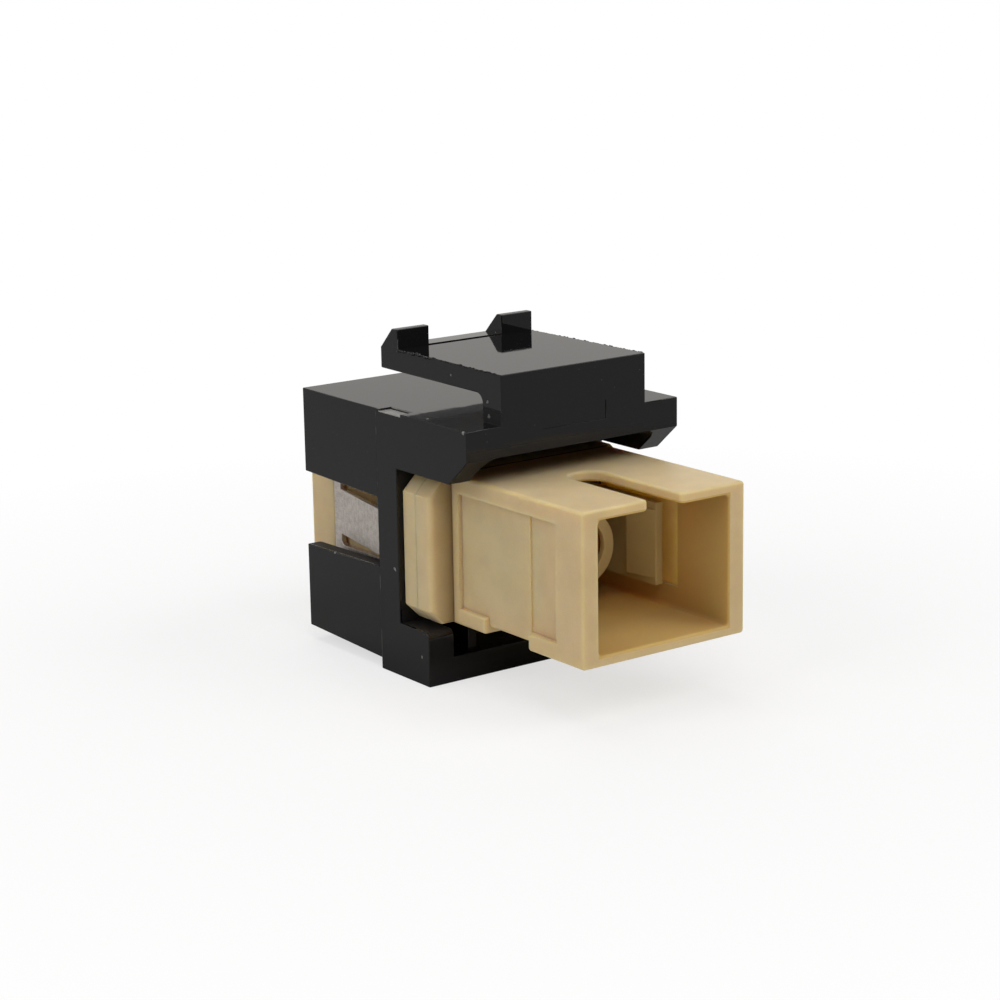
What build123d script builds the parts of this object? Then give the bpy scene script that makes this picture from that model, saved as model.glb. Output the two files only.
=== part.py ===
"""Wall plate insert: a snap-in keystone housing that holds a simplex push-pull fibre adapter.

The origin lies on the fibre axis, in the plane where the two ferrules meet and where the two
halves of the adapter are welded together.  X runs to the right, Y from the front port to the
rear port, and Z up to the snap-in latch.  All sizes are millimetres.
"""

import os

from build123d import *

os.makedirs("parts", exist_ok=True)

# Adapter shells: two equal mouldings, back to back at the weld plane
port_width = 9.1
port_height = 7.4
port_side_wall = 1.11
port_top_wall = 0.62
port_corner_round = 0.25
shell_length = 13.2
body_edge_round = 0.2
rim_round = 0.17
flange_reach = 1.49
flange_half_depth = 1.41
flange_top_corner = 1.2
flange_bottom_corner = 0.85
flange_front_round = 0.35
weld_bevel = 0.07
keyway_width = 2.3
keyway_length = 7.65
keyway_mouth_round = 0.3

# Seats in each shell for the spring clip
flange_rib = 0.48
rim_depth = 2.4
end_panel_length = 2.65
end_panel_depth = 0.14
strap_seat_setback = 2.45
strap_seat_width = 4.0
strap_seat_round = 0.3
seat_top_margin = 1.07
seat_bottom_margin = 0.93
side_seat_slack = 0.04

# Sleeve holders: a base plate with a barrel and two hook arms
plate_shoulder = 0.95
plate_depth = 1.0
plate_corner_round = 0.4
plate_clearance = 0.05
barrel_wall = 0.5
barrel_lip = 0.4
barrel_mouth_step = 0.2
barrel_lead_in = 0.2
arm_set_in = 0.25
arm_thickness = 0.58
arm_height = 4.8
arm_tip_round = 0.2
arm_root_round = 0.4
hook_depth = 0.47
hook_height = 3.95
hook_reach = 5.85
hook_ramp = 2.1
hook_flat = 0.1

# Pocket in each side wall that lets a hook arm spread
arm_pocket_depth = 0.4
arm_pocket_clearance = 0.05
arm_pocket_lead = 0.8

# Split alignment sleeve
ferrule_radius = 1.25
sleeve_wall = 0.35
sleeve_length = 11.4
sleeve_slit = 0.5
sleeve_clearance = 0.05
sleeve_end_break = 0.08

# Spring clip folded from strip, on the rear shell
clip_thickness = 0.3
clip_clearance = 0.02
clip_edge_clearance = 0.05
clip_corner_round = 0.5
window_front_margin = 1.4
window_corner_round = 0.3
window_clearance = 0.67
tab_height = 2.75
tab_root_margin = 0.7
tab_inset = 0.48
tab_seat_gap = 0.05

# Housing: panel wall and rear block
wall_thickness = 1.94
cutout_clearance = 0.08
cutout_corner_round = 0.4
block_depth = 7.79
block_cavity_gap = 0.78
block_side_wall = 0.9
block_top_wall = 1.5
block_bottom_wall = 1.4
block_draft = 0.26
parting_step = 0.09
foot_step = 0.6
notch_above_tab = 0.98
notch_below_tab = 0.31
notch_flare = 0.21

# Housing: top bar with an ear at each end
bar_overhang = 6.86
bar_gap = 1.56
bar_thickness = 1.7
ear_width = 1.45
ear_gap = 0.06
ear_chamfer = 1.75
ear_inner_round = 0.7

# Housing: lower leg with two posts, a lip and two ribs
leg_gap = 0.31
leg_depth = 2.86
leg_post_width = 1.73
leg_post_round = 0.4
leg_pocket_height = 1.67
leg_lip_height = 1.48
leg_rib_spacing = 8.1
leg_rib_width = 0.6
leg_rib_setback = 0.5

# Housing: snap-in latch
latch_front_width = 10.1
latch_rear_width = 9.6
latch_gap = 1.53
latch_thickness = 1.31
latch_length = 11.96
latch_root_depth = 1.8
latch_root_round = 0.55
latch_tail_rise = 0.06
latch_end_drop = 0.05
tooth_width = 2.2
tooth_height = 1.14
tooth_top_depth = 0.5
tooth_base_depth = 1.73

# Housing: small marks left by the mould
trim_ledge_width = 0.85
trim_ledge_drop = 0.13
trim_ledge_length = 2.05
trim_ledge_inset = 0.4
gate_mark_width = 4.45
gate_mark_rise = 1.16
gate_mark_height = 1.06
gate_mark_depth = 0.05

# How near to a given value a selector looks for an edge
pick_band = 0.01

# Adapter places that follow from the sizes above
port_side = port_width / 2
body_side = port_side + port_side_wall
body_top = port_height / 2 + port_top_wall
flange_side = body_side + flange_reach
keyway_end = keyway_length - shell_length
side_seat_start = flange_half_depth + flange_rib
side_seat_end = shell_length - rim_depth
side_seat_top = body_top - seat_top_margin
side_seat_bottom = seat_bottom_margin - body_top
side_seat_depth = clip_thickness + clip_clearance + side_seat_slack
seat_side = body_side - side_seat_depth
end_panel_start = side_seat_end - end_panel_length
strap_seat_end = side_seat_end - strap_seat_setback
strap_seat_start = strap_seat_end - strap_seat_width
strap_seat_depth = clip_thickness + clip_clearance
strap_seat_bottom = strap_seat_depth - body_top

# Holder and sleeve places
plate_side = port_side + plate_shoulder
plate_top = port_height / 2 - plate_clearance
sleeve_radius = ferrule_radius + sleeve_wall
barrel_bore_radius = sleeve_radius + sleeve_clearance
barrel_bore_length = sleeve_length / 2 + sleeve_clearance
barrel_radius = barrel_bore_radius + barrel_wall
barrel_length = barrel_bore_length + barrel_lip
barrel_mouth_radius = barrel_bore_radius - barrel_mouth_step
arm_outer = port_side - arm_set_in
arm_inner = arm_outer - arm_thickness
arm_length = hook_reach + hook_ramp
arm_pocket_end = arm_length + arm_pocket_lead
arm_pocket_height = arm_height + 2 * arm_pocket_clearance

# Housing places
wall_front = flange_half_depth
wall_rear = wall_front + wall_thickness
block_rear = wall_rear + block_depth
cavity_side = body_side + block_cavity_gap
block_side = cavity_side + block_side_wall
wall_side = block_side + parting_step
cutout_side = body_side + cutout_clearance
cutout_top = body_top + cutout_clearance
notch_top = tab_height / 2 + notch_above_tab
notch_bottom = -tab_height / 2 - notch_below_tab
bar_front = wall_front - bar_overhang
bar_side = wall_side - ear_width
bar_bottom = body_top + bar_gap
block_top = bar_bottom + bar_thickness
ear_bottom = body_top + ear_gap
leg_top = -(body_top + leg_gap)
leg_front = wall_front - leg_depth
leg_lip_top = leg_top - leg_pocket_height
wall_bottom = leg_lip_top - leg_lip_height
post_side = wall_side - leg_post_width
block_bottom_front = wall_bottom + foot_step
block_bottom_rear = block_bottom_front + block_draft
latch_bottom = block_top + latch_gap
latch_top = latch_bottom + latch_thickness
latch_rear = bar_front + latch_length
root_rear = bar_front + latch_root_depth
tooth_top = latch_top + tooth_height
tooth_front = latch_rear - tooth_base_depth
tooth_foot = latch_top - latch_thickness / 2

# Clip places
clip_inner = seat_side + clip_clearance
clip_outer = clip_inner + clip_thickness
clip_front = side_seat_start + clip_edge_clearance
clip_rear = side_seat_end - clip_edge_clearance
clip_top = side_seat_top - clip_edge_clearance
clip_bottom = side_seat_bottom + clip_edge_clearance
strap_top = strap_seat_bottom - clip_clearance
strap_bottom = strap_top - clip_thickness
window_front = clip_front + window_front_margin
window_top = tab_height / 2 + window_clearance
tab_root = clip_rear - tab_root_margin
tab_tip = wall_rear + tab_seat_gap
tab_tip_inner = block_side - tab_inset - clip_thickness


def box_between(a0, a1, b0, b1):
    """Draw a rectangle on the open sketch from a0 to a1 along its x and b0 to b1 along its y."""
    with Locations(((a0 + a1) / 2, (b0 + b1) / 2)):
        return Rectangle(abs(a1 - a0), abs(b1 - b0))


def front_plane(y):
    """A plane that faces the front port, at this distance along Y."""
    return Plane.XZ.offset(-y)


def close_to(value):
    """The narrow band that a selector looks in, on both sides of a value."""
    return value - pick_band, value + pick_band


# Front shell of the adapter: a square tube with a flange, a keyway and the clip seats
with BuildPart() as adapter_front_shell:
    with BuildSketch(front_plane(0)):
        Rectangle(2 * flange_side, 2 * body_top)
        chamfer(vertices().group_by(Axis.Y)[-1], flange_top_corner)
        chamfer(vertices().group_by(Axis.Y)[0], flange_bottom_corner)
    extrude(amount=flange_half_depth)
    fillet(edges().group_by(Axis.Y)[0], flange_front_round)
    chamfer(edges().group_by(Axis.Y)[-1], weld_bevel)

    with BuildSketch(front_plane(0)):
        RectangleRounded(2 * body_side, 2 * body_top, body_edge_round)
    extrude(amount=shell_length)

    # Seats for the clip: a panel on each side, and a strap channel that runs under the body
    for side in (-1, 1):
        with BuildSketch(Plane.YZ.offset(side * body_side)):
            box_between(-side_seat_end, -side_seat_start, side_seat_bottom, side_seat_top)
            box_between(-strap_seat_end, -strap_seat_start, -body_top, side_seat_bottom)
        extrude(amount=-side * side_seat_depth, mode=Mode.SUBTRACT)
        with BuildSketch(Plane.YZ.offset(side * seat_side)):
            box_between(-side_seat_end, -end_panel_start, side_seat_bottom, side_seat_top)
        extrude(amount=-side * end_panel_depth, mode=Mode.SUBTRACT)
    with BuildSketch(Plane.XY.offset(-body_top)):
        box_between(-body_side, body_side, -strap_seat_end, -strap_seat_start)
    extrude(amount=strap_seat_depth, mode=Mode.SUBTRACT)
    seat_corners = (
        edges()
        .filter_by(Axis.Y)
        .filter_by_position(Axis.Z, *close_to(strap_seat_bottom))
        .filter_by_position(Axis.Y, -strap_seat_end, -strap_seat_start)
    )
    fillet(seat_corners, strap_seat_round)

    # The port, the pocket that captures the holder's base plate, and room for the hook arms
    with BuildSketch(front_plane(0)):
        RectangleRounded(port_width, port_height, port_corner_round)
    extrude(amount=shell_length, mode=Mode.SUBTRACT)
    with BuildSketch(front_plane(0)):
        Rectangle(2 * (plate_side + plate_clearance), 2 * (plate_top + plate_clearance))
    extrude(amount=plate_depth + plate_clearance, mode=Mode.SUBTRACT)
    with BuildSketch(front_plane(0)):
        Rectangle(port_width + 2 * arm_pocket_depth, arm_pocket_height)
    extrude(amount=arm_pocket_end, mode=Mode.SUBTRACT)

    # Keyway in the top wall, open at the port
    with BuildSketch(Plane.XY.offset(body_top)):
        box_between(-keyway_width / 2, keyway_width / 2, -shell_length, keyway_end - keyway_width / 2)
        with Locations((0, keyway_end - keyway_width / 2)):
            Circle(keyway_width / 2)
    extrude(amount=-2 * port_top_wall, mode=Mode.SUBTRACT)
    mouth_corners = (
        edges()
        .filter_by(Axis.Z)
        .filter_by_position(Axis.Z, port_height / 2, body_top)
        .filter_by_position(Axis.Y, *close_to(-shell_length))
        .filter_by_position(Axis.X, -keyway_width, keyway_width)
    )
    fillet(mouth_corners, keyway_mouth_round)
    fillet(faces().sort_by(Axis.Y)[0].edges(), rim_round)

# The rear shell is the same moulding, turned round
with BuildPart() as adapter_rear_shell:
    add(adapter_front_shell.part, rotation=(0, 0, 180))

# Front sleeve holder: the barrel takes half of the sleeve, the arms hook the plug
with BuildPart() as front_sleeve_holder:
    with BuildSketch(front_plane(0)):
        RectangleRounded(2 * plate_side, 2 * plate_top, plate_corner_round)
    extrude(amount=plate_depth)
    with BuildSketch(front_plane(0)):
        Circle(barrel_radius)
    extrude(amount=barrel_length)

    # One arm with its hook, cut square behind the peak, then its mirror image
    with BuildSketch(Plane.XY.offset(-arm_height / 2)):
        box_between(arm_inner, arm_outer, -arm_length, -plate_depth / 2)
        fillet(vertices().group_by(Axis.Y)[0].sort_by(Axis.X)[-1], arm_tip_round)
    extrude(amount=arm_height)
    with BuildSketch(Plane.XY.offset(-hook_height / 2)):
        with BuildLine():
            Polyline(
                (arm_outer - arm_thickness / 2, -arm_length),
                (arm_inner, -arm_length),
                (arm_inner - hook_depth, -hook_reach - hook_flat),
                (arm_inner - hook_depth, -hook_reach),
                (arm_outer - arm_thickness / 2, -hook_reach),
                close=True,
            )
        make_face()
    extrude(amount=hook_height)
    arm_roots = (
        edges()
        .filter_by(Axis.Z)
        .filter_by_position(Axis.Y, *close_to(-plate_depth))
        .filter_by_position(Axis.X, *close_to(arm_inner))
    )
    fillet(arm_roots, arm_root_round)
    mirror(about=Plane.YZ)

    # Bore for the sleeve, with a lip at the mouth that keeps the sleeve in
    with BuildSketch(front_plane(0)):
        Circle(barrel_bore_radius)
    extrude(amount=barrel_bore_length, mode=Mode.SUBTRACT)
    with BuildSketch(front_plane(0)):
        Circle(barrel_mouth_radius)
    extrude(amount=barrel_length, mode=Mode.SUBTRACT)
    mouth_edge = edges().filter_by(GeomType.CIRCLE).sort_by(Axis.Y)[0:2].sort_by(SortBy.RADIUS)[0]
    chamfer(mouth_edge, barrel_lead_in)

# The rear holder is the same moulding, turned round
with BuildPart() as rear_sleeve_holder:
    add(front_sleeve_holder.part, rotation=(0, 0, 180))

# Alignment sleeve: a thin tube, slit along its top so that it grips both ferrules
with BuildPart() as alignment_sleeve:
    with BuildSketch(front_plane(0)):
        Circle(sleeve_radius)
        Circle(ferrule_radius, mode=Mode.SUBTRACT)
    extrude(amount=sleeve_length / 2, both=True)
    chamfer(edges().filter_by(GeomType.CIRCLE), sleeve_end_break)
    with BuildSketch(front_plane(0)):
        box_between(-sleeve_slit / 2, sleeve_slit / 2, 0, 2 * sleeve_radius)
    extrude(amount=sleeve_length, both=True, mode=Mode.SUBTRACT)

# Spring clip: a strap under the rear shell, a plate up each side, and a tab flared out of each
with BuildPart() as spring_clip:
    strap_plane = front_plane(strap_seat_end - clip_edge_clearance)
    strap_width = strap_seat_end - strap_seat_start - 2 * clip_edge_clearance
    bend_round = strap_seat_round + clip_clearance
    with BuildSketch(strap_plane):
        box_between(-clip_outer, clip_outer, strap_bottom, clip_bottom + clip_corner_round)
        fillet(vertices().group_by(Axis.Y)[0], bend_round + clip_thickness)
    extrude(amount=strap_width)
    with BuildSketch(strap_plane):
        box_between(-clip_inner, clip_inner, strap_top, clip_top)
        fillet(vertices().group_by(Axis.Y)[0], bend_round)
    extrude(amount=strap_width, mode=Mode.SUBTRACT)

    # The right-hand plate with its window, and the tab that was cut and bent out of it
    with BuildSketch(Plane.YZ.offset(clip_inner)):
        box_between(clip_front, clip_rear, clip_bottom, clip_top)
        fillet(vertices(), clip_corner_round)
        with Locations(((window_front + tab_root) / 2, 0)):
            RectangleRounded(
                tab_root - window_front, 2 * window_top, window_corner_round, mode=Mode.SUBTRACT
            )
        box_between(tab_root - window_corner_round, tab_root, -tab_height / 2, tab_height / 2)
    extrude(amount=clip_thickness)
    tab_line = (Vector(tab_tip_inner, tab_tip) - Vector(clip_inner, tab_root)).normalized()
    tab_skin = Vector(-tab_line.Y, tab_line.X) * clip_thickness
    with BuildSketch(Plane.XY.offset(-tab_height / 2)):
        with BuildLine():
            Polyline(
                (clip_inner, tab_root),
                (tab_tip_inner, tab_tip),
                (tab_tip_inner + tab_skin.X, tab_tip + tab_skin.Y),
                (clip_outer, tab_root),
                close=True,
            )
        make_face()
    extrude(amount=tab_height)
    mirror(about=Plane.YZ)

# Housing: one black moulding
with BuildPart() as keystone_housing:
    # Panel wall, with the opening that the rear shell is pushed through
    with BuildSketch(front_plane(wall_rear)):
        box_between(-wall_side, wall_side, wall_bottom, block_top)
    extrude(amount=wall_thickness)

    # Rear block, drafted along its underside and cored out round the adapter
    with BuildSketch(Plane.YZ.offset(-block_side)):
        with BuildLine():
            Polyline(
                (wall_rear, block_top),
                (block_rear, block_top),
                (block_rear, block_bottom_rear),
                (wall_rear, block_bottom_front),
                close=True,
            )
        make_face()
    extrude(amount=2 * block_side)
    cavity_bottom = block_bottom_rear + block_bottom_wall
    with BuildSketch(front_plane(block_rear)):
        box_between(-cavity_side, cavity_side, cavity_bottom, block_top - block_top_wall)
    extrude(amount=block_depth, mode=Mode.SUBTRACT)
    with BuildSketch(Plane.YZ.offset(-block_side)):
        with BuildLine():
            Polyline(
                (wall_rear, notch_top),
                (block_rear, notch_top + notch_flare),
                (block_rear, notch_bottom - notch_flare),
                (wall_rear, notch_bottom),
                close=True,
            )
        make_face()
    extrude(amount=2 * block_side, mode=Mode.SUBTRACT)
    with BuildSketch(front_plane(wall_rear)):
        RectangleRounded(2 * cutout_side, 2 * cutout_top, cutout_corner_round)
    extrude(amount=wall_thickness, mode=Mode.SUBTRACT)

    # Top bar over the port, with an ear at each end that stands on the panel's edge
    with BuildSketch(Plane.YZ.offset(-wall_side)):
        with BuildLine():
            Polyline(
                (wall_front, block_top),
                (bar_front, block_top),
                (bar_front, bar_bottom),
                (bar_front + ear_chamfer, ear_bottom),
                (wall_front, ear_bottom),
                close=True,
            )
        make_face()
    extrude(amount=2 * wall_side)
    with BuildSketch(front_plane(wall_front)):
        box_between(-bar_side, bar_side, ear_bottom - ear_inner_round, bar_bottom)
        fillet(vertices().group_by(Axis.Y)[-1], ear_inner_round)
    extrude(amount=bar_overhang, mode=Mode.SUBTRACT)

    # Lower leg: two posts and a lip, with a pocket between them and two ribs in the pocket
    with BuildSketch(Plane.YZ.offset(-wall_side)):
        box_between(leg_front, wall_front, wall_bottom, leg_top)
        fillet(vertices().group_by(Axis.X)[0].sort_by(Axis.Y)[-1], leg_post_round)
    extrude(amount=2 * wall_side)
    with BuildSketch(front_plane(wall_front)):
        box_between(-post_side, post_side, leg_lip_top, leg_top)
    extrude(amount=leg_depth, mode=Mode.SUBTRACT)
    with BuildSketch(front_plane(wall_front)):
        for side in (-1, 1):
            with Locations((side * leg_rib_spacing / 2, (leg_lip_top + leg_top) / 2)):
                Rectangle(leg_rib_width, leg_top - leg_lip_top)
    extrude(amount=leg_depth - leg_rib_setback)

    # Latch: a root that rises from the bar, and a springy arm that runs back over the block
    with BuildSketch(Plane.YZ.offset(-latch_front_width / 2)):
        with BuildLine():
            Polyline(
                (bar_front, block_top),
                (bar_front, latch_top),
                (tooth_front, latch_top),
                (tooth_front, latch_top + latch_tail_rise),
                (latch_rear, latch_top - latch_end_drop),
                (latch_rear, latch_bottom),
                (root_rear, latch_bottom),
                (root_rear, block_top),
                close=True,
            )
        make_face()
        fillet(vertices().sort_by_distance((root_rear, latch_bottom))[0], latch_root_round)
    extrude(amount=latch_front_width)

    # Two teeth at the tail of the latch, upright in front and sloped behind
    tooth_reach = tooth_width + (latch_front_width - latch_rear_width) / 2
    for side in (-1, 1):
        with BuildSketch(Plane.YZ.offset(side * latch_front_width / 2)):
            with BuildLine():
                Polyline(
                    (tooth_front, tooth_foot),
                    (tooth_front, tooth_top),
                    (tooth_front + tooth_top_depth, tooth_top),
                    (latch_rear, tooth_top - tooth_base_depth + tooth_top_depth),
                    (latch_rear, tooth_foot),
                    close=True,
                )
            make_face()
        extrude(amount=-side * tooth_reach)

    # The latch narrows a little towards its teeth
    with BuildSketch(Plane.XY.offset(block_top)):
        for side in (-1, 1):
            with BuildLine():
                Polyline(
                    (side * latch_front_width / 2, bar_front),
                    (side * latch_front_width / 2, latch_rear),
                    (side * latch_rear_width / 2, latch_rear),
                    close=True,
                )
            make_face()
    extrude(amount=tooth_top - block_top, mode=Mode.SUBTRACT)

    # Small marks of the mould: a trimmed step at the top edges, and a faint square on the latch
    with BuildSketch(Plane.XY.offset(block_top)):
        for side in (-1, 1):
            box_between(
                side * (wall_side - trim_ledge_width),
                side * wall_side,
                wall_rear - trim_ledge_inset - trim_ledge_length,
                wall_rear - trim_ledge_inset,
            )
    extrude(amount=-trim_ledge_drop, mode=Mode.SUBTRACT)
    with BuildSketch(front_plane(bar_front)):
        with Locations((0, bar_bottom + gate_mark_rise + gate_mark_height / 2)):
            Rectangle(gate_mark_width, gate_mark_height)
    extrude(amount=-gate_mark_depth, mode=Mode.SUBTRACT)

keystone_housing.part.label = "keystone_housing"
adapter_front_shell.part.label = "adapter_front_shell"
adapter_rear_shell.part.label = "adapter_rear_shell"
front_sleeve_holder.part.label = "front_sleeve_holder"
rear_sleeve_holder.part.label = "rear_sleeve_holder"
alignment_sleeve.part.label = "alignment_sleeve"
spring_clip.part.label = "spring_clip"

export_step(keystone_housing.part, "parts/keystone_housing.step")
export_step(adapter_front_shell.part, "parts/adapter_front_shell.step")
export_step(adapter_rear_shell.part, "parts/adapter_rear_shell.step")
export_step(front_sleeve_holder.part, "parts/front_sleeve_holder.step")
export_step(rear_sleeve_holder.part, "parts/rear_sleeve_holder.step")
export_step(alignment_sleeve.part, "parts/alignment_sleeve.step")
export_step(spring_clip.part, "parts/spring_clip.step")
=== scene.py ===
# %% [markdown]
# # A wall plate insert for a fibre socket
#
# The object is a glossy black housing that snaps into a wall plate, and a beige adapter pushed
# through it.  A plug goes into the square port at each end.  Inside, two pale holders carry a
# slit bronze sleeve that lines the two fibres up, and a folded steel clip keeps the adapter in.
# The solids are already the right shape and size, so this lesson is about light, finish and the
# small marks that moulding and stamping leave.

# %% Load the solids, and keep the box that they fill
import math

import bmesh
import bpy
from mathutils import Matrix, Vector
from mathutils.bvhtree import BVHTree


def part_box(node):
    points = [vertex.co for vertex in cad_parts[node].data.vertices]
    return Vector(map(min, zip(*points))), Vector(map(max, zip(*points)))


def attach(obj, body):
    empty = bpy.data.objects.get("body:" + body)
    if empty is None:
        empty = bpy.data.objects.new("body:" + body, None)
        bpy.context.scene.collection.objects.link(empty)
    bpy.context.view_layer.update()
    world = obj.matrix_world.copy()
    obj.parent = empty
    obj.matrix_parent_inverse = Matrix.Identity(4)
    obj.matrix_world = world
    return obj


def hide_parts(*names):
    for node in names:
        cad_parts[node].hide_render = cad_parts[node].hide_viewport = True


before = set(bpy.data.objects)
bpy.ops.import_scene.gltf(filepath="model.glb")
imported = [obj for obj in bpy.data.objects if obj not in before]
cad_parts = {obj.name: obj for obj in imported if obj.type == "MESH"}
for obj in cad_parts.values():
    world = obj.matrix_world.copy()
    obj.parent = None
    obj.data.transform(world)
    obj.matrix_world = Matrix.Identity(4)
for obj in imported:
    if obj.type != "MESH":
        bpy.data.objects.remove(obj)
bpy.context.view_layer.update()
mm = 0.001


def metres(values):
    """These millimetres, in metres."""
    return [value * mm for value in values]


# %% [markdown]
# ## The camera
#
# The insert was photographed from the front and left, a little from above, at less than a hand's
# width.  The place and the angles below were measured from the edges of the object, so a render
# can be laid over the photograph.  A long lens keeps the far edges nearly parallel.

# %% Place the camera
camera_place = Vector(metres((-85.338, -114.506, 36.485)))
camera_azimuth = math.radians(-36.293)
camera_elevation = math.radians(13.692)
camera_roll = math.radians(-0.983)
camera_lens = 91.895
sensor_width = 36.0


def direction(azimuth, elevation):
    """The unit vector from the object towards a viewer at these angles."""
    level = math.cos(elevation)
    return Vector((math.sin(azimuth) * level, -math.cos(azimuth) * level, math.sin(elevation)))


def aim_at(thing, back, roll=0.0):
    """Turn a camera or lamp so that its own Z axis points back along this direction."""
    thing.rotation_mode = "QUATERNION"
    turned = back.to_track_quat("Z", "Y").to_matrix() @ Matrix.Rotation(roll, 3, "Z")
    thing.rotation_quaternion = turned.to_quaternion()


camera_data = bpy.data.cameras.new("camera")
camera_data.lens = camera_lens
camera_data.sensor_width = sensor_width
camera_data.clip_start = 1 * mm
camera_data.clip_end = 10.0
camera = bpy.data.objects.new("camera", camera_data)
camera.location = camera_place
aim_at(camera, direction(camera_azimuth, camera_elevation), camera_roll)
bpy.context.scene.collection.objects.link(camera)
bpy.context.scene.camera = camera
print("camera distance in mm:", round(camera_place.length / mm, 1))

# %% [markdown]
# ## Shader maths as plain expressions
#
# A finish is a sum of small things: a grain, a few specks, a streak.  Written with nodes by hand
# that is long to read, so a socket is wrapped in a small class whose operators add the Math
# nodes.  Every other node comes from one method, which sets the node's own settings first and
# then its sockets.

# %% A socket that can be used in an expression
speck_core = 0.6  # the share of a speck's radius that it keeps its full strength for


class Wire:
    """A node's output, which adds Math nodes when it is used in an expression."""

    def __init__(self, recipe, socket):
        self.recipe = recipe
        self.socket = socket

    def math(self, operation, first, second):
        """One Math node with these two inputs."""
        return self.recipe.node("ShaderNodeMath", {"operation": operation}, {0: first, 1: second})

    def __add__(self, other):
        return self.math("ADD", self, other)

    def __sub__(self, other):
        return self.math("SUBTRACT", self, other)

    def __rsub__(self, other):
        return self.math("SUBTRACT", other, self)

    def __mul__(self, other):
        return self.math("MULTIPLY", self, other)

    def __gt__(self, other):
        return self.math("GREATER_THAN", self, other)

    def __lt__(self, other):
        return self.math("LESS_THAN", self, other)

    def __abs__(self):
        return self.math("ABSOLUTE", self, 0.0)

    __radd__ = __add__
    __rmul__ = __mul__


class Recipe:
    """The nodes of a material, of the world or of a piece that repeats, added one at a time."""

    def __init__(self, tree):
        self.tree = tree
        tree.nodes.clear()

    def node(self, kind, settings=None, sockets=None, output=0):
        """Add a node, set its settings, then fill its sockets with values or wires."""
        made = self.tree.nodes.new(kind)
        for name, value in (settings or {}).items():
            if name == "stops":
                self.set_stops(made.color_ramp, value)
            else:
                setattr(made, name, value)
        for name, value in (sockets or {}).items():
            if isinstance(value, Wire):
                self.tree.links.new(value.socket, made.inputs[name])
            else:
                made.inputs[name].default_value = value
        return Wire(self, made.outputs[output]) if made.outputs else made

    def set_stops(self, ramp, stops):
        """Give a colour ramp these stops, each a place from 0 to 1 and a grey level."""
        while len(ramp.elements) < len(stops):
            ramp.elements.new(1.0)
        for element, (place, level) in zip(ramp.elements, stops):
            element.position = place
            element.color = (level, level, level, 1.0)

    def place(self):
        """Object coordinates, which are metres in the frame of the part."""
        return self.node("ShaderNodeTexCoord", output="Object")

    def along(self, axis):
        """One of the object coordinates, X, Y or Z."""
        return self.node("ShaderNodeSeparateXYZ", sockets={"Vector": self.place()}, output=axis)

    def away_from(self, point):
        """The distance from a point, in metres."""
        sockets = {0: self.place(), 1: point}
        return self.node("ShaderNodeVectorMath", {"operation": "DISTANCE"}, sockets, "Value")

    def stretched(self, scale):
        """Object coordinates with a scale of its own for each axis."""
        return self.node("ShaderNodeMapping", sockets={"Vector": self.place(), "Scale": scale})

    def grain(self, size, detail=2.0, where=None):
        """Smooth noise from 0 to 1 whose lumps are about this size."""
        sockets = {"Vector": where or self.place(), "Scale": 1 / size, "Detail": detail}
        return self.node("ShaderNodeTexNoise", sockets=sockets)

    def specks(self, spacing, radius):
        """1 inside small round specks, strewn about this far apart, and 0 elsewhere."""
        sockets = {"Vector": self.place(), "Scale": 1 / spacing}
        distance = self.node("ShaderNodeTexVoronoi", sockets=sockets)
        edge = radius / spacing
        return self.ramp(distance, (edge * speck_core, 1.0), (edge, 0.0))

    def ramp(self, value, *stops):
        """Send a value through a grey ramp."""
        return self.node("ShaderNodeValToRGB", {"stops": stops}, {"Fac": value})

    def blend(self, share, colour, other):
        """Mix two colours by a share from 0 to 1."""
        settings = {"data_type": "RGBA"}
        sockets = {"Factor": share, 6: opaque(colour), 7: opaque(other)}
        return self.node("ShaderNodeMix", settings, sockets, output=2)

    def bump(self, height, depth):
        """Bump from a height of 0 to 1, with its real depth in metres."""
        sockets = {"Height": height, "Strength": 1.0, "Distance": depth}
        return self.node("ShaderNodeBump", sockets=sockets)


def between(value, low, high):
    """1 where a wire's value lies between these two, and 0 elsewhere."""
    return (value > low) * (value < high)


def opaque(colour):
    """A colour with its alpha, or the wire that already carries one."""
    return colour if isinstance(colour, Wire) else (*colour, 1.0)


def recipe_for(owner):
    """An empty recipe for a material or a world."""
    owner.use_nodes = True
    return Recipe(owner.node_tree)


def principled(name, sockets, make_wires):
    """A material with plain values on its shader, and the wires that its recipe makes."""
    made = bpy.data.materials.new(name)
    recipe = recipe_for(made)
    shader = recipe.node("ShaderNodeBsdfPrincipled", sockets={**sockets, **make_wires(recipe)})
    recipe.node("ShaderNodeOutputMaterial", sockets={"Surface": shader})
    return made


# %% [markdown]
# ## The studio
#
# A black gloss surface is only as good as what it mirrors.  The top faces mirror the backdrop at
# a low angle and look grey, the upright faces mirror the table and stay dark.  So the world is
# bright low behind the object, and dark overhead, which is why small rounded edges look like thin
# dark lines.  The floor is white to the camera, throws back a little less light than it gets,
# and is a middle grey where the gloss mirrors it.  One lamp hangs overhead, and larger ones stand
# to the left, in front, to the right and behind.

# %% Light, backdrop and floor
sky_level = 0.10
backdrop_level = 0.58
room_level = 0.20
ceiling_share = 0.12
white = (1.0, 1.0, 1.0)
backdrop_warm = (1.0, 0.965, 0.925)
floor_bounce = (0.85, 0.85, 0.85)
floor_mirrored = (0.43, 0.43, 0.43)
floor_reach = 900 * mm
floor_corners = 96
shadow_reach = 60 * mm
backdrop_rises = ((0.35, 0.0), (0.75, 1.0))
ceiling_falls = ((0.36, 1.0), (0.56, 0.0))
shadow_fades = ((0.4, 0.65), (1.0, 1.0))
bpy.context.scene.view_settings.view_transform = "Standard"


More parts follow.
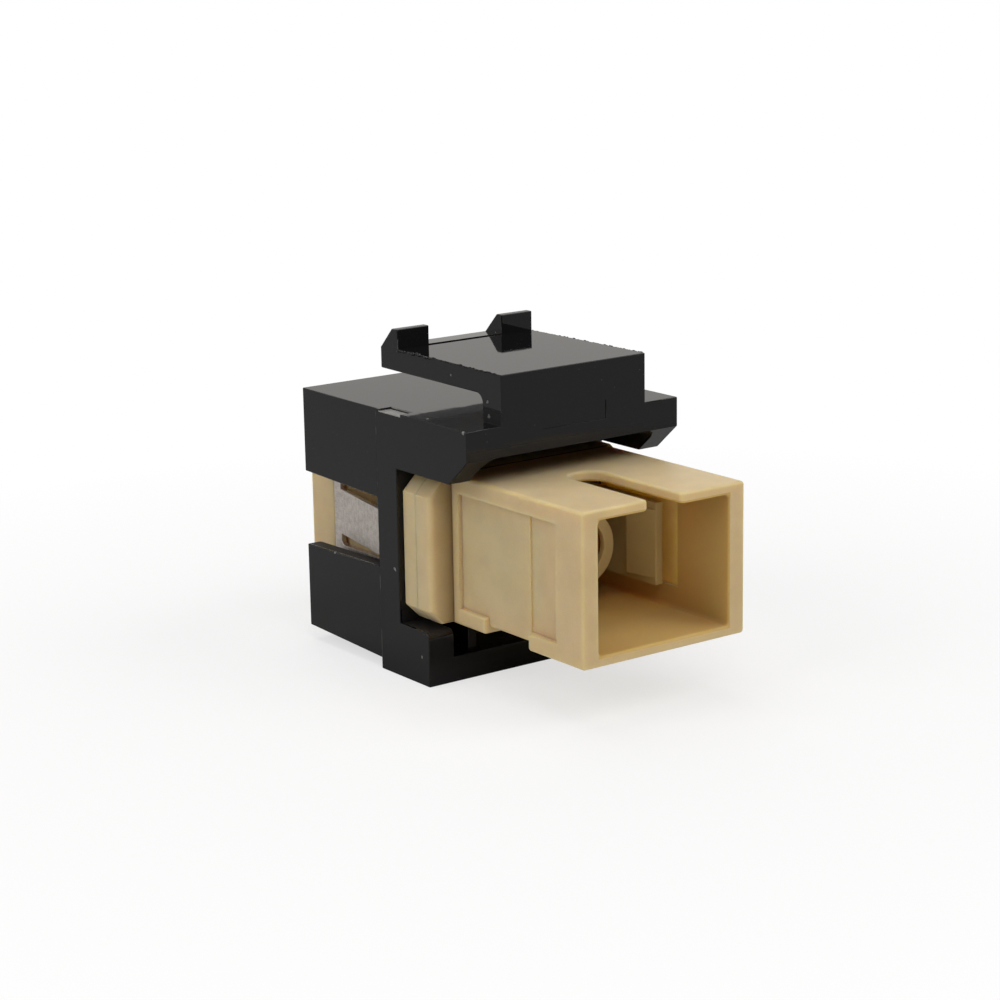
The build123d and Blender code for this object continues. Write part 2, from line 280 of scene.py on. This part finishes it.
def light_the_world():
    """A plain world: white to the camera, bright behind the object, dim in front and overhead."""
    world = bpy.data.worlds.new("studio")
    bpy.context.scene.world = world
    recipe = recipe_for(world)
    path = recipe.node("ShaderNodeLightPath", output="Is Camera Ray")
    glossy = recipe.node("ShaderNodeLightPath", output="Is Glossy Ray")
    clear = recipe.node("ShaderNodeLightPath", output="Is Transmission Ray")
    heading = recipe.node("ShaderNodeTexCoord", output="Generated")
    back = recipe.node("ShaderNodeSeparateXYZ", sockets={"Vector": heading}, output="Y")
    rise = recipe.node("ShaderNodeSeparateXYZ", sockets={"Vector": heading}, output="Z")
    behind = recipe.ramp(back * 0.5 + 0.5, *backdrop_rises)
    low = recipe.ramp(rise, *ceiling_falls)
    level_behind = behind * (backdrop_level - room_level) + room_level
    mirrored = level_behind * (low * (1 - ceiling_share) + ceiling_share)
    level = path + glossy * mirrored + clear * mirrored + (1 - path - glossy - clear) * sky_level
    colour = recipe.blend(path, backdrop_warm, white)
    shader = recipe.node("ShaderNodeBackground", sockets={"Color": colour, "Strength": level})
    recipe.node("ShaderNodeOutputWorld", sockets={"Surface": shader})


def lay_the_floor():
    """A round floor: white to the camera, shaded near the object, and greyer to other rays."""
    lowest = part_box("keystone_housing")[0].z
    bpy.ops.mesh.primitive_circle_add(vertices=floor_corners, radius=floor_reach, fill_type="NGON")
    floor = bpy.context.object
    floor.name = "floor"
    floor.data.transform(Matrix.Translation((0, 0, lowest)))
    made = bpy.data.materials.new("floor")
    recipe = recipe_for(made)
    seen = recipe.node("ShaderNodeLightPath", output="Is Camera Ray")
    glossy = recipe.node("ShaderNodeLightPath", output="Is Glossy Ray")
    unseen = recipe.blend(glossy, floor_bounce, floor_mirrored)
    shade = recipe.blend(seen, unseen, white)
    lit = recipe.node("ShaderNodeBsdfDiffuse", sockets={"Color": shade})
    plain = recipe.node("ShaderNodeEmission", sockets={"Color": opaque(white), "Strength": 1.0})
    far = recipe.ramp(recipe.away_from((0, 0, 0)) * (1 / shadow_reach), *shadow_fades)
    surface = recipe.node("ShaderNodeMixShader", sockets={0: far * seen, 1: lit, 2: plain})
    recipe.node("ShaderNodeOutputMaterial", sockets={"Surface": surface})
    floor.data.materials.append(made)


def hang_lamp(name, azimuth, elevation, distance, width, power):
    """A square soft lamp that looks at the object from these angles, in degrees and metres."""
    data = bpy.data.lights.new(name, "AREA")
    data.size = width
    data.energy = power
    lamp = bpy.data.objects.new(name, data)
    back = direction(math.radians(azimuth), math.radians(elevation))
    lamp.location = back * distance
    aim_at(lamp, back)
    bpy.context.scene.collection.objects.link(lamp)


light_the_world()
lay_the_floor()
hang_lamp("overhead_lamp", azimuth=180, elevation=75, distance=0.40, width=0.26, power=0.50)
hang_lamp("left_lamp", azimuth=-95, elevation=36, distance=0.50, width=0.30, power=0.66)
hang_lamp("front_lamp", azimuth=-20, elevation=50, distance=0.50, width=0.30, power=0.60)
hang_lamp("right_lamp", azimuth=45, elevation=42, distance=0.50, width=0.30, power=0.66)
hang_lamp("back_lamp", azimuth=150, elevation=35, distance=0.50, width=0.30, power=0.20)

# %% [markdown]
# ## Softened edges
#
# A moulding never has a truly sharp edge: the tool and the polishing leave a break of a tenth of
# a millimetre or less, and it is what catches the light.  A solid's mesh is loose triangles, so a
# copy is merged, its flat faces are joined, and a Bevel modifier rounds what is still sharp.  The
# modifier's own clamp narrows every edge to what the tightest spot allows, which leaves next to
# nothing.  So the clamp is off, and each edge carries a weight: the share of the full width that
# it has room for.  Where the result still turns a face over, the edges there get less.  Only
# outer edges get a break.  It takes material away, so no piece grows towards another, and the
# inner corners stay crisp, as they do in the photograph.

# %% Copy a solid with its doubles merged and its edges broken
merge_reach = 0.0005 * mm
flat_angle = math.radians(1.0)
sharp_angle = math.radians(32.0)
break_segments = 2
shares = (1.0, 0.5, 0.25)
room_for_break = 2.1  # widths of the break that the edges beside it have to reach
next_piece = -0.8  # a cosine: an edge that runs on nearly straight
turned_over = -0.1  # a cosine: a triangle that faces away from the solid's own face
spoiled_reach = 2.5  # widths of the break round a turned triangle
most_rounds = 12


def has_room(edge, room):
    """Whether no shorter edge meets this one, other than the next piece of the same line."""
    for corner in edge.verts:
        along = (edge.other_vert(corner).co - corner.co).normalized()
        for other in corner.link_edges:
            away = other.other_vert(corner).co - corner.co
            short = other is not edge and away.length < room
            if short and along.dot(away.normalized()) > next_piece:
                return False
    return True


def turned_places(piece, solid):
    """The corners of the triangles that the break turned inside out."""
    evaluated = piece.evaluated_get(bpy.context.evaluated_depsgraph_get())
    made = evaluated.to_mesh()
    made.calc_loop_triangles()
    places = []
    for triangle in made.loop_triangles:
        corners = [made.vertices[index].co.copy() for index in triangle.vertices]
        normal = solid.find_nearest(sum(corners, Vector()) / 3)[1]
        if normal.dot(triangle.normal) < turned_over:
            places.extend(corners)
    evaluated.to_mesh_clear()
    return places


def ease(loose, weight, places, reach):
    """Halve the weights of the edges near these places, and say how many there were."""
    eased = 0
    for edge in loose.edges:
        near = any((corner.co - place).length < reach for corner in edge.verts for place in places)
        if edge[weight] > 0 and near:
            edge[weight] = edge[weight] / 2 if edge[weight] > shares[-1] else 0.0
            eased += 1
    return eased


def merged(mesh):
    """This mesh with its doubles merged, its flat faces joined and its sharp edges marked."""
    loose = bmesh.new()
    loose.from_mesh(mesh)
    bmesh.ops.remove_doubles(loose, verts=loose.verts, dist=merge_reach)
    bmesh.ops.dissolve_limit(loose, angle_limit=flat_angle, verts=loose.verts, edges=loose.edges)
    for face in loose.faces:
        face.smooth = True
        face.material_index = 0
    for edge in loose.edges:
        edge.smooth = edge.is_manifold and edge.calc_face_angle(0.0) < sharp_angle
    return loose


def add_break(piece, width):
    """The modifier that rounds each edge by its weight."""
    rounding = piece.modifiers.new("edge break", "BEVEL")
    rounding.width = width
    rounding.segments = break_segments
    rounding.limit_method = "WEIGHT"
    rounding.harden_normals = True
    rounding.use_clamp_overlap = False


def soften(node, name, finish, edge_break):
    """Put a copy with broken edges, this wide, in the place of a solid."""
    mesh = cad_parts[node].data.copy()
    mesh.name = name
    mesh.materials.clear()
    mesh.materials.append(finish)
    if "custom_normal" in mesh.attributes:
        mesh.attributes.remove(mesh.attributes["custom_normal"])
    loose = merged(mesh)
    weight = loose.edges.layers.float.new("bevel_weight_edge")
    outer = [edge for edge in loose.edges if edge.is_convex and not edge.smooth]
    for edge in outer:
        fitting = [s for s in shares if has_room(edge, room_for_break * edge_break * s)]
        edge[weight] = fitting[0] if fitting else 0.0
    solid = BVHTree.FromBMesh(loose)
    loose.to_mesh(mesh)
    piece = bpy.data.objects.new(name, mesh)
    bpy.context.scene.collection.objects.link(piece)
    add_break(piece, edge_break)
    for _ in range(most_rounds):
        if not ease(loose, weight, turned_places(piece, solid), spoiled_reach * edge_break):
            break
        loose.to_mesh(mesh)
        mesh.update()
    broken = sum(edge.calc_length() * edge[weight] for edge in outer)
    sharp = sum(edge.calc_length() for edge in outer)
    loose.free()
    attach(piece, "root")
    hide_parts(node)
    print(name, "faces before the break:", len(mesh.polygons))
    print(name, "share of the break that fits:", round(broken / sharp, 2))


# %% [markdown]
# ## The black housing
#
# It is one glossy moulding.  Polished tool steel leaves it nearly mirror smooth, with a faint
# orange peel, hairline rubs from handling and a little dust.  The black itself stays very dark,
# so that what is seen is the mirror image.  Two small patches at the top edges were cut with a
# blade, so they are rougher and paler.  The faces round the adapter come from an unpolished part
# of the tool and are dull, all but the slope under the right ear.  So is a torn patch at the
# left foot of the latch.  Each side has a grey line along its seam, broken up by a grain, and
# pale flecks of whitened plastic sit at the edges.

# %% Black gloss plastic
black = (0.004, 0.004, 0.005)
dust_grey = (0.12, 0.12, 0.115)
seam_grey = (0.10, 0.10, 0.095)
cut_grey = (0.34, 0.33, 0.31)
fleck_grey = (0.20, 0.20, 0.195)
polished_roughness = 0.03
patchy_roughness = 0.03
rub_roughness = 0.04
mark_roughness = 0.3
seam_roughness = 0.5
dull_roughness = 0.6
dust_cover = 0.6
peel_size = 0.9 * mm
peel_depth = 0.002 * mm
pit_size = 0.08 * mm
pit_share = 0.05
patch_size = 2.5 * mm
rub_size = 0.35 * mm
rub_stretch = (1, 0.16, 1)
rub_rises = ((0.55, 0.0), (0.75, 1.0))
dust_spacing = 0.55 * mm
dust_radius = 0.03 * mm
cut_inner = 6.6 * mm
cut_front = 0.85 * mm
cut_rear = 3.0 * mm
cut_low = 7.42 * mm
cut_high = 7.48 * mm
inner_side = 7.25 * mm
inner_front = -1.40 * mm
inner_rear = 11.0 * mm
inner_bottom = -4.75 * mm
inner_top = 4.3 * mm
under_ear_side = 7.38 * mm
under_ear_rear = 1.3 * mm
under_ear_top = 6.7 * mm
under_ear_fades = ((0.65, 1.0), (1.0, 0.0))
ear_slope = 0.76
ear_slope_level = 1.79 * mm
torn_side = 5.0 * mm
torn_rear = -3.75 * mm
torn_low = 7.61 * mm
torn_top = 8.30 * mm
torn_ragged = 0.5 * mm
torn_grain = 0.4 * mm
seam_depth = 3.33 * mm
seam_half = 0.04 * mm
seam_side = 7.3 * mm
# the grey line along each seam, and the grain that breaks it up
seam_patch_size = 1.1 * mm
seam_patch_rises = ((0.5, 0.0), (0.6, 1.0))
fleck_ragged = 0.35 * mm
fleck_grain = 0.12 * mm
pale_flecks = (  # centre and radius in mm
    ((-7.43, -5.15, 7.54), 0.12),
    ((-6.90, -1.07, 7.58), 0.09),
    ((-5.05, -4.25, 7.98), 0.10),
    ((-5.05, -4.14, 8.74), 0.08),
    ((-4.97, -0.60, 9.72), 0.07),
    ((-7.43, -0.73, -6.13), 0.09),
    ((-7.43, 1.76, -1.51), 0.09),
    ((-7.34, 8.17, -1.83), 0.09),
    ((-7.34, 6.34, -1.60), 0.10),
    ((2.75, 5.39, 10.45), 0.14),
)


def cut_patches(recipe):
    """1 on the two cut patches at the top edges of the housing, and 0 elsewhere."""
    side = abs(recipe.along("X")) > cut_inner
    level = between(recipe.along("Z"), cut_low, cut_high)
    return side * level * between(recipe.along("Y"), cut_front, cut_rear)


def tucked_in(recipe):
    """1 on the unpolished faces round the adapter, and 0 elsewhere."""
    across = abs(recipe.along("X"))
    depth = recipe.along("Y")
    height = recipe.along("Z")
    level = between(height, inner_bottom, inner_top)
    inner = (across < inner_side) * level * between(depth, inner_front, inner_rear)
    climb = (height - inner_top) * (1 / (under_ear_top - inner_top))
    fading = recipe.ramp(climb, *under_ear_fades)
    right_slope = (height + depth * ear_slope < ear_slope_level) * (recipe.along("X") > 0.0)
    under_ear = (across < under_ear_side) * (depth < under_ear_rear) * (height > inner_top)
    return inner + under_ear * fading * (1 - right_slope)


def torn_root(recipe):
    """1 on the rough patch at the left foot of the latch, and 0 elsewhere."""
    height = recipe.along("Z")
    wander = (recipe.grain(torn_grain, detail=3.0) - 0.5) * torn_ragged
    foot = (recipe.along("X") < -torn_side) * (recipe.along("Y") < torn_rear)
    return foot * (height > torn_low) * (height + wander < torn_top)


def seam_line(recipe):
    """1 along the seam on each side, and 0 elsewhere."""
    line = abs(recipe.along("Y") - seam_depth) < seam_half
    return line * (abs(recipe.along("X")) > seam_side)


def flecked(recipe):
    """1 on the small flecks of whitened plastic that the mould and the cutter left."""
    edge = (recipe.grain(fleck_grain, detail=3.0) - 0.5) * fleck_ragged
    return sum(
        recipe.away_from(metres(centre)) + edge < radius * mm for centre, radius in pale_flecks
    )


def black_gloss(recipe):
    """Dark polished plastic with its dust, rubs, seam, cuts and flecks."""
    streaks = recipe.grain(rub_size, detail=5.0, where=recipe.stretched(rub_stretch))
    rubs = recipe.ramp(streaks, *rub_rises)
    dust = recipe.specks(dust_spacing, dust_radius)
    cut = cut_patches(recipe)
    fleck = flecked(recipe)
    dull = tucked_in(recipe) + torn_root(recipe)
    seam = seam_line(recipe)
    seam_shows = recipe.ramp(recipe.grain(seam_patch_size), *seam_patch_rises)
    dusty = recipe.blend(dust * dust_cover, black, dust_grey)
    marked = recipe.blend(seam * seam_shows, dusty, seam_grey)
    trimmed = recipe.blend(cut, marked, cut_grey)
    polish = recipe.grain(patch_size) * patchy_roughness + polished_roughness
    marks = (dust + cut + fleck) * mark_roughness
    spoiled = rubs * rub_roughness + dull * dull_roughness + seam * seam_roughness
    pits = recipe.grain(pit_size, detail=3.0) * pit_share
    return {
        "Base Color": recipe.blend(fleck, trimmed, fleck_grey),
        "Roughness": polish + marks + spoiled,
        "Normal": recipe.bump(recipe.grain(peel_size, detail=1.0) + pits, peel_depth),
    }


gloss = {"IOR": 1.5, "Specular Tint": (1.0, 0.975, 0.95, 1.0)}
black_housing = principled("black_housing", gloss, black_gloss)
housing_break = 0.06 * mm
soften("keystone_housing", "moulded_housing", black_housing, housing_break)

# %% [markdown]
# ## Flash along the latch
#
# Where the two halves of a mould meet, a little plastic creeps between them and sets as flash: a
# wavy row of tiny lumps.  Here it sits on the top edges of the latch and on the lower edge of each
# notch, and its lumps are longer along the edge than across it.  Each row repeats one lump along
# a line, so a small Geometry Nodes tree strews lumps between two points, and each row only gives
# it other numbers.

# %% A tree that strews lumps along a line
row_inputs = {
    "Start": "NodeSocketVector",
    "End": "NodeSocketVector",
    "Count": "NodeSocketInt",
    "Lump Size": "NodeSocketFloat",
    "Wander": "NodeSocketVector",
    "Seed": "NodeSocketInt",
    "Finish": "NodeSocketMaterial",
}
lump_roundness = 2
least_swell = (0.4, 1.4, 0.4)
most_swell = (1.0, 3.0, 1.1)


def flash_tree():
    """Geometry Nodes that add a row of long lumps to the rows that came before."""
    tree = bpy.data.node_groups.new("flash_row", "GeometryNodeTree")
    tree.interface.new_socket("Geometry", in_out="INPUT", socket_type="NodeSocketGeometry")
    for name, kind in row_inputs.items():
        tree.interface.new_socket(name, in_out="INPUT", socket_type=kind)
    tree.interface.new_socket("Geometry", in_out="OUTPUT", socket_type="NodeSocketGeometry")
    recipe = Recipe(tree)
    entry = tree.nodes.new("NodeGroupInput")
    given = {socket.name: Wire(recipe, socket) for socket in entry.outputs}
    points = {"Count": given["Count"], "Start Location": given["Start"], "Offset": given["End"]}
    line = recipe.node("GeometryNodeMeshLine", {"mode": "END_POINTS"}, points)
    random = {"data_type": "FLOAT_VECTOR"}
    either_way = {0: (-1, -1, -1), 1: (1, 1, 1), "Seed": given["Seed"]}
    sway = recipe.node("FunctionNodeRandomValue", random, either_way)
    wander = {0: sway, 1: given["Wander"]}
    shift = recipe.node("ShaderNodeVectorMath", {"operation": "MULTIPLY"}, wander)
    strewn = recipe.node("GeometryNodeSetPosition", sockets={"Geometry": line, "Offset": shift})
    ball = {"Radius": given["Lump Size"], "Subdivisions": lump_roundness}
    plain = recipe.node("GeometryNodeMeshIcoSphere", sockets=ball)
    lump = recipe.node("GeometryNodeSetShadeSmooth", sockets={"Geometry": plain})
    sizes = {0: least_swell, 1: most_swell, "Seed": given["Seed"] + 1}
    swell = recipe.node("FunctionNodeRandomValue", random, sizes)
    lumps = {"Points": strewn, "Instance": lump, "Scale": swell}
    rows = tree.nodes.new("GeometryNodeJoinGeometry")
    for part in (recipe.node("GeometryNodeInstanceOnPoints", sockets=lumps), given["Geometry"]):
        tree.links.new(part.socket, rows.inputs[0])
    joined = {"Geometry": Wire(recipe, rows.outputs[0])}
    solid = recipe.node("GeometryNodeRealizeInstances", sockets=joined)
    dressed = {"Geometry": solid, "Material": given["Finish"]}
    ready = recipe.node("GeometryNodeSetMaterial", sockets=dressed)
    tree.links.new(ready.socket, tree.nodes.new("NodeGroupOutput").inputs[0])
    return tree


# %% Strew the flash, then keep it as a plain mesh
flash_rows = (  # start, end, count, lump size, wander and seed, with lengths in mm
    ((-4.84, 4.70, 10.33), (-4.90, 1.60, 10.38), 11, 0.095, (0.03, 0.12, 0.06), 3),
    ((-4.90, 1.60, 10.40), (-5.03, -5.10, 10.40), 40, 0.060, (0.02, 0.10, 0.03), 7),
    ((4.84, 4.70, 10.38), (5.03, -5.15, 10.40), 40, 0.050, (0.015, 0.08, 0.02), 11),
    ((-7.32, 3.60, -1.70), (-7.32, 10.90, -1.88), 30, 0.030, (0.01, 0.10, 0.015), 19),
    ((7.32, 3.60, -1.70), (7.32, 10.90, -1.88), 26, 0.030, (0.01, 0.10, 0.015), 23),
)


def strew_flash(name, rows, finish):
    """All rows of flash in one piece, which rides on the part."""
    tree = flash_tree()
    entries = [item for item in tree.interface.items_tree if item.in_out == "INPUT"]
    socket_of = {entry.name: entry.identifier for entry in entries}
    piece = bpy.data.objects.new(name, bpy.data.meshes.new(name))
    bpy.context.scene.collection.objects.link(piece)
    for start, end, count, size, wander, seed in rows:
        row = piece.modifiers.new("row of flash", "NODES")
        row.node_group = tree
        row[socket_of["Start"]] = metres(start)
        row[socket_of["End"]] = metres(end)
        row[socket_of["Count"]] = count
        row[socket_of["Lump Size"]] = size * mm
        row[socket_of["Wander"]] = metres(wander)
        row[socket_of["Seed"]] = seed
        row[socket_of["Finish"]] = finish
    evaluated = piece.evaluated_get(bpy.context.evaluated_depsgraph_get())
    strewn = bpy.data.meshes.new_from_object(evaluated)
    strewn.materials.clear()
    strewn.materials.append(finish)
    for face in strewn.polygons:
        face.material_index = 0
    piece.modifiers.clear()
    piece.data = strewn
    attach(piece, "root")
    print(name, "faces:", len(strewn.polygons))


strew_flash("mould_flash", flash_rows, black_housing)

# %% [markdown]
# ## The beige shells
#
# Their plastic lets some light in: thin walls glow a warmer yellow, and edges look soft.  That
# is scattering below the surface, which the shader takes as three distances, one for each
# colour.  A fine satin grain comes from the spark-eroded tool.  Light and shade are also painted
# into the colour: the port's inside is a darker, deeper yellow as painted shade and bounced light,
# the thin wall behind the hook arms has a painted yellow glow, and the front of the flange has a
# painted shade where it meets the body.

# %% Beige satin plastic
beige = (0.74, 0.58, 0.335)
beige_deep = (0.66, 0.51, 0.285)
# painted shade and bounced light: the port's inside is darker and a deeper yellow than the outside
beige_painted_port_shade = (0.64, 0.44, 0.16)
# painted shade: the front of the flange grows darker towards the body
beige_painted_corner_shade = (0.32, 0.21, 0.085)
# painted light: a yellow glow on the thin wall behind the hook arms, for light that shines through
# it
beige_painted_glow = (0.70, 0.40, 0.05)
flange_near = 1.3 * mm
flange_far = 1.5 * mm
corner_side = 5.6 * mm
corner_reach = 1.6 * mm
corner_fades = ((0.0, 1.0), (0.9, 0.0))
port_side = 4.62 * mm
port_top = 3.85 * mm
thin_wall_side = 4.3 * mm
thin_wall_front = 8.74 * mm
thin_wall_rear = 6.2 * mm
thin_wall_half = 2.3 * mm
satin_size = 0.06 * mm
satin_roughness = 0.12
shell_roughness = 0.38
shell_bump = 0.004 * mm
cloud_size = 1.6 * mm
cloud_share = 0.6
cloud_swell = 2.0
mottle_rises = ((0.35, 0.0), (0.7, 1.0))


def beige_satin(recipe):
    """Pale beige, clouded, with painted shade in the port and at the flange, and a painted glow.
    """
    cloud = recipe.grain(cloud_size, detail=3.0)
    satin = recipe.grain(satin_size)
    across = abs(recipe.along("X"))
    depth = abs(recipe.along("Y"))
    height = abs(recipe.along("Z"))
    mottle = recipe.ramp(cloud * cloud_share + satin * (1 - cloud_share), *mottle_rises)
    outside = recipe.blend(mottle, beige, beige_deep)
    # painted shade: inside the port, the deeper colour stands in for shade and light bounced
    # between the walls
    inside = (across < port_side) * (height < port_top)
    # painted glow: the thin wall behind the hook arms
    behind_hooks = between(depth, thin_wall_rear, thin_wall_front) * (height < thin_wall_half)
    thin = inside * behind_hooks * (across > thin_wall_side)
    port_painted = recipe.blend(thin, recipe.blend(inside, outside, beige_painted_port_shade), beige_painted_glow)
    # painted shade on the flange's front, strongest where it meets the body
    nearness = recipe.ramp((across - corner_side) * (1 / corner_reach), *corner_fades)
    corner = between(depth, flange_near, flange_far) * nearness
    return {
        "Base Color": recipe.blend(corner, port_painted, beige_painted_corner_shade),
        "Roughness": satin * satin_roughness + shell_roughness,
        "Normal": recipe.bump(satin + cloud * cloud_swell, shell_bump),
    }


glow = {
    "IOR": 1.42,
    "Subsurface Weight": 1.0,
    "Subsurface Radius": (1.0, 0.8, 0.35),
    "Subsurface Scale": 1.0 * mm,
}
beige_shell = principled("beige_shell", glow, beige_satin)
shell_break = 0.12 * mm
soften("adapter_front_shell", "front_half", beige_shell, shell_break)
soften("adapter_rear_shell", "rear_half", beige_shell, shell_break)

# %% [markdown]
# ## The sleeve holders
#
# The holders are a harder, greyer plastic, because the hook arms bend each time that a plug goes
# in.  It is less clear than the shells, so it scatters less.

# %% Pale holder plastic
holder_pale = (0.64, 0.49, 0.23)
holder_dim = (0.58, 0.43, 0.19)
holder_cloud = 1.2 * mm
holder_roughness = 0.35
holder_patchy = 0.1
holder_bump = 0.002 * mm


def holder_satin(recipe):
    """Pale plastic with a soft cloud in its colour and in its shine."""
    cloud = recipe.grain(holder_cloud)
    return {
        "Base Color": recipe.blend(cloud, holder_pale, holder_dim),
        "Roughness": cloud * holder_patchy + holder_roughness,
        "Normal": recipe.bump(recipe.grain(satin_size), holder_bump),
    }


faint_glow = {
    "IOR": 1.45,
    "Subsurface Weight": 0.6,
    "Subsurface Radius": (1.0, 0.65, 0.3),
    "Subsurface Scale": 0.4 * mm,
}
pale_holder = principled("pale_holder", faint_glow, holder_satin)
holder_break = 0.07 * mm
soften("front_sleeve_holder", "front_holder", pale_holder, holder_break)
soften("rear_sleeve_holder", "rear_holder", pale_holder, holder_break)

# %% [markdown]
# ## The sleeve and the clip
#
# Both are metal, so their colour is the colour of what they mirror times their own.  The sleeve
# is drawn bronze with rings from turning.  The clip is rolled strip: the rolls leave fine lines
# along it, and tumbling after the stamping leaves it mottled.

# %% Bronze and rolled steel
line_size = 0.05 * mm
bronze_light = (0.68, 0.45, 0.23)
bronze_dark = (0.58, 0.36, 0.17)
ring_stretch = (0.05, 1, 0.05)
ring_roughness = 0.15
bronze_roughness = 0.22
ring_bump = 0.002 * mm
steel_dark = (0.72, 0.65, 0.59)
steel_light = (0.95, 0.88, 0.82)
roll_stretch = (1, 0.12, 1)
roll_share = 0.4
tumble_size = 0.3 * mm
tumble_roughness = 0.25
steel_roughness = 0.3
steel_bump = 0.012 * mm
shade_rises = ((0.38, 0.0), (0.62, 1.0))


def drawn_bronze(recipe):
    """Bronze with fine rings round the sleeve."""
    rings = recipe.grain(line_size, where=recipe.stretched(ring_stretch))
    return {
        "Base Color": recipe.blend(rings, bronze_light, bronze_dark),
        "Roughness": rings * ring_roughness + bronze_roughness,
        "Normal": recipe.bump(rings, ring_bump),
    }


def rolled_steel(recipe):
    """Steel strip with lines from the rolls under a mottle from tumbling."""
    lines = recipe.grain(line_size, detail=3.0, where=recipe.stretched(roll_stretch))
    mottle = recipe.grain(tumble_size, detail=5.0)
    shade = recipe.ramp(lines * roll_share + mottle * (1 - roll_share), *shade_rises)
    return {
        "Base Color": recipe.blend(shade, steel_dark, steel_light),
        "Roughness": mottle * tumble_roughness + steel_roughness,
        "Normal": recipe.bump(lines * roll_share + mottle, steel_bump),
    }


bronze_sleeve = principled("bronze_sleeve", {"Metallic": 1.0}, drawn_bronze)
steel_clip = principled("steel_clip", {"Metallic": 1.0}, rolled_steel)
clip_break = 0.03 * mm
soften("spring_clip", "folded_clip", steel_clip, clip_break)

# %% Finish the sleeve, whose ends are already broken
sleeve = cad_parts["alignment_sleeve"]
sleeve.data.materials.clear()
sleeve.data.materials.append(bronze_sleeve)
